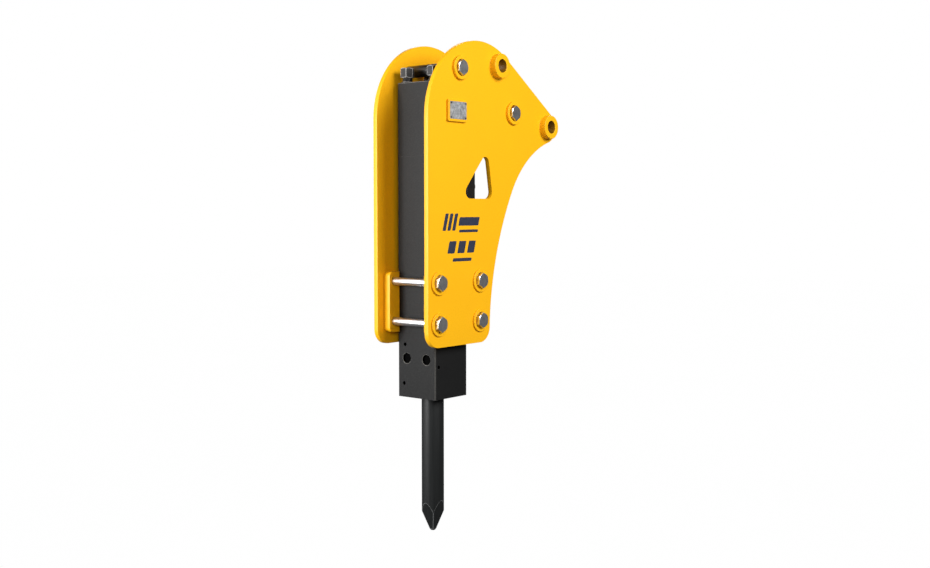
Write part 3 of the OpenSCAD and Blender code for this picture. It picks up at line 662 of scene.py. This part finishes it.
charcoal = charcoal_enamel()
# near-black steel for the bores and the pins deep in them: painted shade, darker than oiled steel really is
shade_black_steel = bare_steel("near_black_bore_steel_painted_shade", "#090909", "#121110", 0.5, 0.7)
for node in ("front_head", "power_cylinder", "back_head"):
    bm = eased(node, 0.0010)
    edge = bm.faces.layers.float["edge"]
    low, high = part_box(node)
    for face in bm.faces:
        middle = face.calc_center_median()
        # the bores are masked when the block is sprayed; their steel is made near black so that it reflects
        # almost nothing: painted shade inside the holes
        depth = min(min(middle[k] - low[k], high[k] - middle[k]) for k in range(3))
        face.material_index = 1 if depth > SPRAYED_DEPTH else 0
        # the planed corners and the countersinks of the pin holes take the pale edge colour as a painted
        # highlight
        slant = sorted(abs(n) for n in face.normal)
        if slant[1] > 0.35 and slant[2] < 0.95:
            face[edge] = 0.7 if face.calc_area() < SMALL_FACE else 0.2
    # a pale line under the top edge of the body: rubbed paint and a painted highlight together
    walls = [f for f in bm.faces
             if node == "back_head" and len(f.verts) == 4 and f.calc_area() > WALL_AREA]
    for face in narrow_rims(bm, walls, PALE_LINE_WIDTH):
        face[edge] = 0.6 if face.calc_center_median().z > high[2] - 0.004 else 0.0
    block = keep(bm, node + "_painted", "housing", "body_paint", charcoal, shade_black_steel)
    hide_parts(node)

# ---- Tie rods ----
# Four long studs through the corners of the body, with stepped washers and deep hexagon nuts
# above the back head. Black oxide, rubbed bright on the corners by the wrench; the pale rims on
# the nut flats are partly that wear and partly a painted highlight.
ROD_OFFSET = 0.058
ROD_NUT_AF = 0.041
dress("tie_rods", "rolled", "housing", "dark_fasteners", oxide, ease=0.0010)
dress("tie_rod_washers", "turned", "housing", "dark_fasteners", oxide, ease=0.0008)
low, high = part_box("tie_rod_nuts")
rods = [(TOOL_AXIS_X + dx, dy) for dx in (-ROD_OFFSET, ROD_OFFSET) for dy in (-ROD_OFFSET, ROD_OFFSET)]
nuts = bmesh.new()
gather(nuts, hexagon(ROD_NUT_AF, high[2] - low[2], both_ends=True),
       [Matrix.Translation((x, y, low[2])) @ Matrix.Rotation(math.radians(60), 4, "Z") for x, y in rods])
ease_edges(nuts, 0.0010)
edge = nuts.faces.layers.float["edge"]
# the rims of the flats are painted pale: partly wrench wear, partly a painted highlight
flats = [f for f in nuts.faces if f.calc_area() > 0.0004]
for face in narrow_rims(nuts, flats, 0.0013):
    face[edge] = 0.42
piece = keep(nuts, "tie_rod_nuts_forged", "housing", "dark_fasteners", oxide)
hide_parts("tie_rod_nuts")

# ---- Retainer, stop and lock pins ----
# Two hard bars across the front head keep the tool in, each between two black rubber plugs. A
# small stop pin locks each bar, and two dowels lock the bushes. All sit below the surface.


def soft_ring(name, dark, light, rough, sheen=0.5):
    """Moulded rubber or polymer: matt, nearly even in tone, with a bloom of fine dust."""
    material, tree, surface = new_material(name)
    place = add(tree, "TexCoord").outputs["Object"]
    bloom = add(tree, "TexNoise", {"Vector": place, "Scale": 200.0, "Detail": 3.0})
    colour = add(tree, "Mix", {"Factor": bloom.outputs["Fac"], "A": linear(dark), "B": linear(light)},
                 data_type="RGBA")
    bump = add(tree, "Bump", {"Height": bloom.outputs["Fac"], "Strength": 0.1, "Distance": 0.0003})
    rubber = add(tree, "BsdfPrincipled", {"Base Color": colour.outputs["Result"], "IOR": 1.5,
                                          "Specular IOR Level": sheen, "Roughness": rough,
                                          "Normal": bump.outputs["Normal"]})
    tree.links.new(rubber.outputs["BSDF"], surface)
    return material


hardened = bare_steel("hardened_turned_steel", "#5A5855", "#7A7672", 0.3, 0.5, 0.06)
nitrile = soft_ring("nitrile_rubber", "#060606", "#0C0C0C", 0.75)
dress("retainer_pins", "hardened", "housing", "hardened_steel", hardened, ease=0.0006)
# the plugs are rubber painted nearly black with almost no sheen: painted shade in the deep holes
plug_shade_black = soft_ring("black_rubber_with_painted_shade", "#020202", "#050505", 0.95, sheen=0.05)
dress("retainer_pin_plugs", "moulded", "housing", "seal_rubber", plug_shade_black, ease=0.0004)
# the stop and lock pins take the same near-black steel as the bores: painted shade in their holes
for node in ("retainer_stop_pins", "bush_lock_pins"):
    dress(node, "blacked", "housing", "dark_fasteners", shade_black_steel, ease=0.0004)

# ---- Bushes, thrust ring and dust seal ----
# Three turned rings of hardened steel in the front head guide the tool and take its blows; a
# black rubber wiper sits in the mouth of the lower one.
TOOL_STROKE = 0.045
RING_BORE = 0.0329
RING_MOUTH = 0.0379
for node in ("lower_bush", "upper_bush"):
    dress(node, "hardened", "housing", "hardened_steel", hardened, ease=0.0004)
low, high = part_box("thrust_ring")
ring_radius = high[0] - TOOL_AXIS_X
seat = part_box("tool")[1][2] + TOOL_STROKE
# the section of the ring, turned round the tool's axis: its cone takes the tool's shoulder
section = ((ring_radius, low[2]), (ring_radius, high[2]), (RING_BORE, high[2]),
           (RING_BORE, seat + 0.0003), (RING_MOUTH, seat - 0.0077), (RING_MOUTH, low[2]))
bm = bmesh.new()
points = [bm.verts.new((TOOL_AXIS_X + r, 0, z)) for r, z in section]
lines = [bm.edges.new(pair) for pair in zip(points, points[1:] + points[:1])]
bmesh.ops.spin(bm, geom=points + lines, cent=(TOOL_AXIS_X, 0, 0), axis=(0, 0, 1), angle=2 * math.pi,
               steps=96, use_merge=True, use_duplicate=False)
bmesh.ops.recalc_face_normals(bm, faces=bm.faces)
ease_edges(bm, 0.0004)
ring = keep(bm, "thrust_ring_hardened", "housing", "hardened_steel", hardened)
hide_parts("thrust_ring")
dress("tool_dust_seal", "moulded", "housing", "seal_rubber", nitrile, ease=0.0004)

# ---- Tool ----
# A 75 mm bar of heat-treated alloy steel, turned and left dark from quenching in oil, with a
# forged four-sided point. The ridges of the point and the shoulder rims are rubbed paler.


def quenched_steel():
    """Oil-quenched bar: charcoal scale with lengthwise streaks and paler ridges."""
    material, tree, surface = new_material("oil_quenched_tool_steel")
    place = add(tree, "TexCoord").outputs["Object"]
    # streaks run down the bar, about 6 mm wide and 120 mm long
    long_way = add(tree, "Mapping", {"Vector": place, "Scale": (1.0, 1.0, 0.05)})
    streak = add(tree, "TexNoise", {"Vector": long_way.outputs["Vector"], "Scale": 160.0, "Detail": 4.0})
    grain = add(tree, "TexNoise", {"Vector": place, "Scale": 400.0, "Detail": 3.0, "Roughness": 0.6})
    tone = add(tree, "Mix", {"Factor": streak.outputs["Fac"], "A": linear("#101112"), "B": linear("#1E2020")},
               data_type="RGBA")
    rim = add(tree, "Attribute", attribute_name="edge").outputs["Fac"]
    wear = add(tree, "Math", {0: rim, 1: 0.9}, operation="MULTIPLY")
    colour = add(tree, "Mix", {"Factor": wear.outputs["Value"], "A": tone.outputs["Result"],
                               "B": linear("#8A8C8C")}, data_type="RGBA")
    rough = add(tree, "MapRange", {"Value": streak.outputs["Fac"], "To Min": 0.34, "To Max": 0.48})
    bump = add(tree, "Bump", {"Height": grain.outputs["Fac"], "Strength": 0.12, "Distance": 0.0004})
    steel = add(tree, "BsdfPrincipled", {"Base Color": colour.outputs["Result"], "IOR": 1.5,
                                         "Specular IOR Level": 0.36, "Roughness": rough.outputs["Result"],
                                         "Normal": bump.outputs["Normal"]})
    tree.links.new(steel.outputs["BSDF"], surface)
    return material


bm = eased("tool", 0.0009, corner=10.0)
edge = bm.faces.layers.float["edge"]
# the rims of the forged flats at the point are rubbed paler
flats = [f for f in bm.faces if -0.6 < f.normal.z < -0.1 and f.calc_area() > 0.0006]
for face in narrow_rims(bm, flats, PALE_LINE_WIDTH):
    face[edge] = 0.5
tool = keep(bm, "tool_forged", "tool", "tool_steel", quenched_steel())
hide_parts("tool")

# ---- Port block and hose unions ----
# A milled steel block screwed to the back of the cylinder carries the two oil ports. Each port
# has a zinc-nickel plated straight union with a hexagon and a threaded end for the hose.


def zinc_nickel():
    """Zinc-nickel plate: a warm light grey, satin, with thread ridges on the round ends."""
    material, tree, surface = new_material("zinc_nickel_plate")
    place = add(tree, "TexCoord").outputs["Object"]
    haze = add(tree, "TexNoise", {"Vector": place, "Scale": 110.0, "Detail": 3.0})
    colour = add(tree, "Mix", {"Factor": haze.outputs["Fac"], "A": linear("#A29C8A"), "B": linear("#C4BEAC")},
                 data_type="RGBA")
    rough = add(tree, "MapRange", {"Value": haze.outputs["Fac"], "To Min": 0.28, "To Max": 0.45})
    # thread ridges 2 mm apart
    ridges = add(tree, "TexWave", {"Vector": place, "Scale": 157.0, "Distortion": 0.0},
                 wave_type="BANDS", bands_direction="X")
    bump = add(tree, "Bump", {"Height": ridges.outputs["Fac"], "Strength": 0.35, "Distance": 0.0005})
    metal = add(tree, "BsdfPrincipled", {"Base Color": colour.outputs["Result"], "Metallic": 1.0,
                                         "Roughness": rough.outputs["Result"],
                                         "Normal": bump.outputs["Normal"]})
    tree.links.new(metal.outputs["BSDF"], surface)
    return material


plated = zinc_nickel()
dress("port_block", "milled", "housing", "body_paint", charcoal, ease=0.0010)
dress("port_block_screws", "blacked", "housing", "dark_fasteners", oxide, ease=0.0005)
dress("hose_adapters", "plated", "housing", "plated_fittings", plated, ease=0.0006)

# ---- Grease nipple and charging valve ----
# Small plated fittings on the rear face: the nipple that feeds the bushes with grease, and the
# valve with its screwed cap through which the back head is filled with nitrogen.
dress("grease_nipple", "plated", "housing", "plated_fittings", plated, ease=0.0003)
dress("gas_valve", "plated", "housing", "plated_fittings", plated, ease=0.0003)
dress("gas_valve_cap", "plated", "housing", "plated_fittings", plated, ease=0.0006)

# ---- Inside the cylinder ----
# The ground piston, the ring valve in its sleeve, the seal carrier and all soft rings. Hidden
# in the assembled hammer, but finished like the real ones: ground, oiled and clean.
ground = bare_steel("ground_oiled_steel", "#9A9A9C", "#C2C2C4", 0.16, 0.28)
nitrided = bare_steel("nitrided_sleeve_steel", "#6E6658", "#8E8672", 0.26, 0.42, 0.03)
polymer = soft_ring("filled_polyurethane", "#101418", "#1C222A", 0.5)
dress("piston", "ground", "piston", "ground_steel", ground, ease=0.0006)
dress("valve_spool", "ground", "valve_spool", "ground_steel", ground, ease=0.0004)
dress("valve_sleeve", "nitrided", "housing", "hardened_steel", nitrided, ease=0.0004)
dress("seal_retainer", "nitrided", "housing", "hardened_steel", nitrided, ease=0.0004)
for node in ("rod_seals", "gas_seals"):
    dress(node, "moulded", "housing", "seal_polymer", polymer, ease=0.0003)
dress("joint_o_rings", "moulded", "housing", "seal_rubber", nitrile, ease=0.0004)
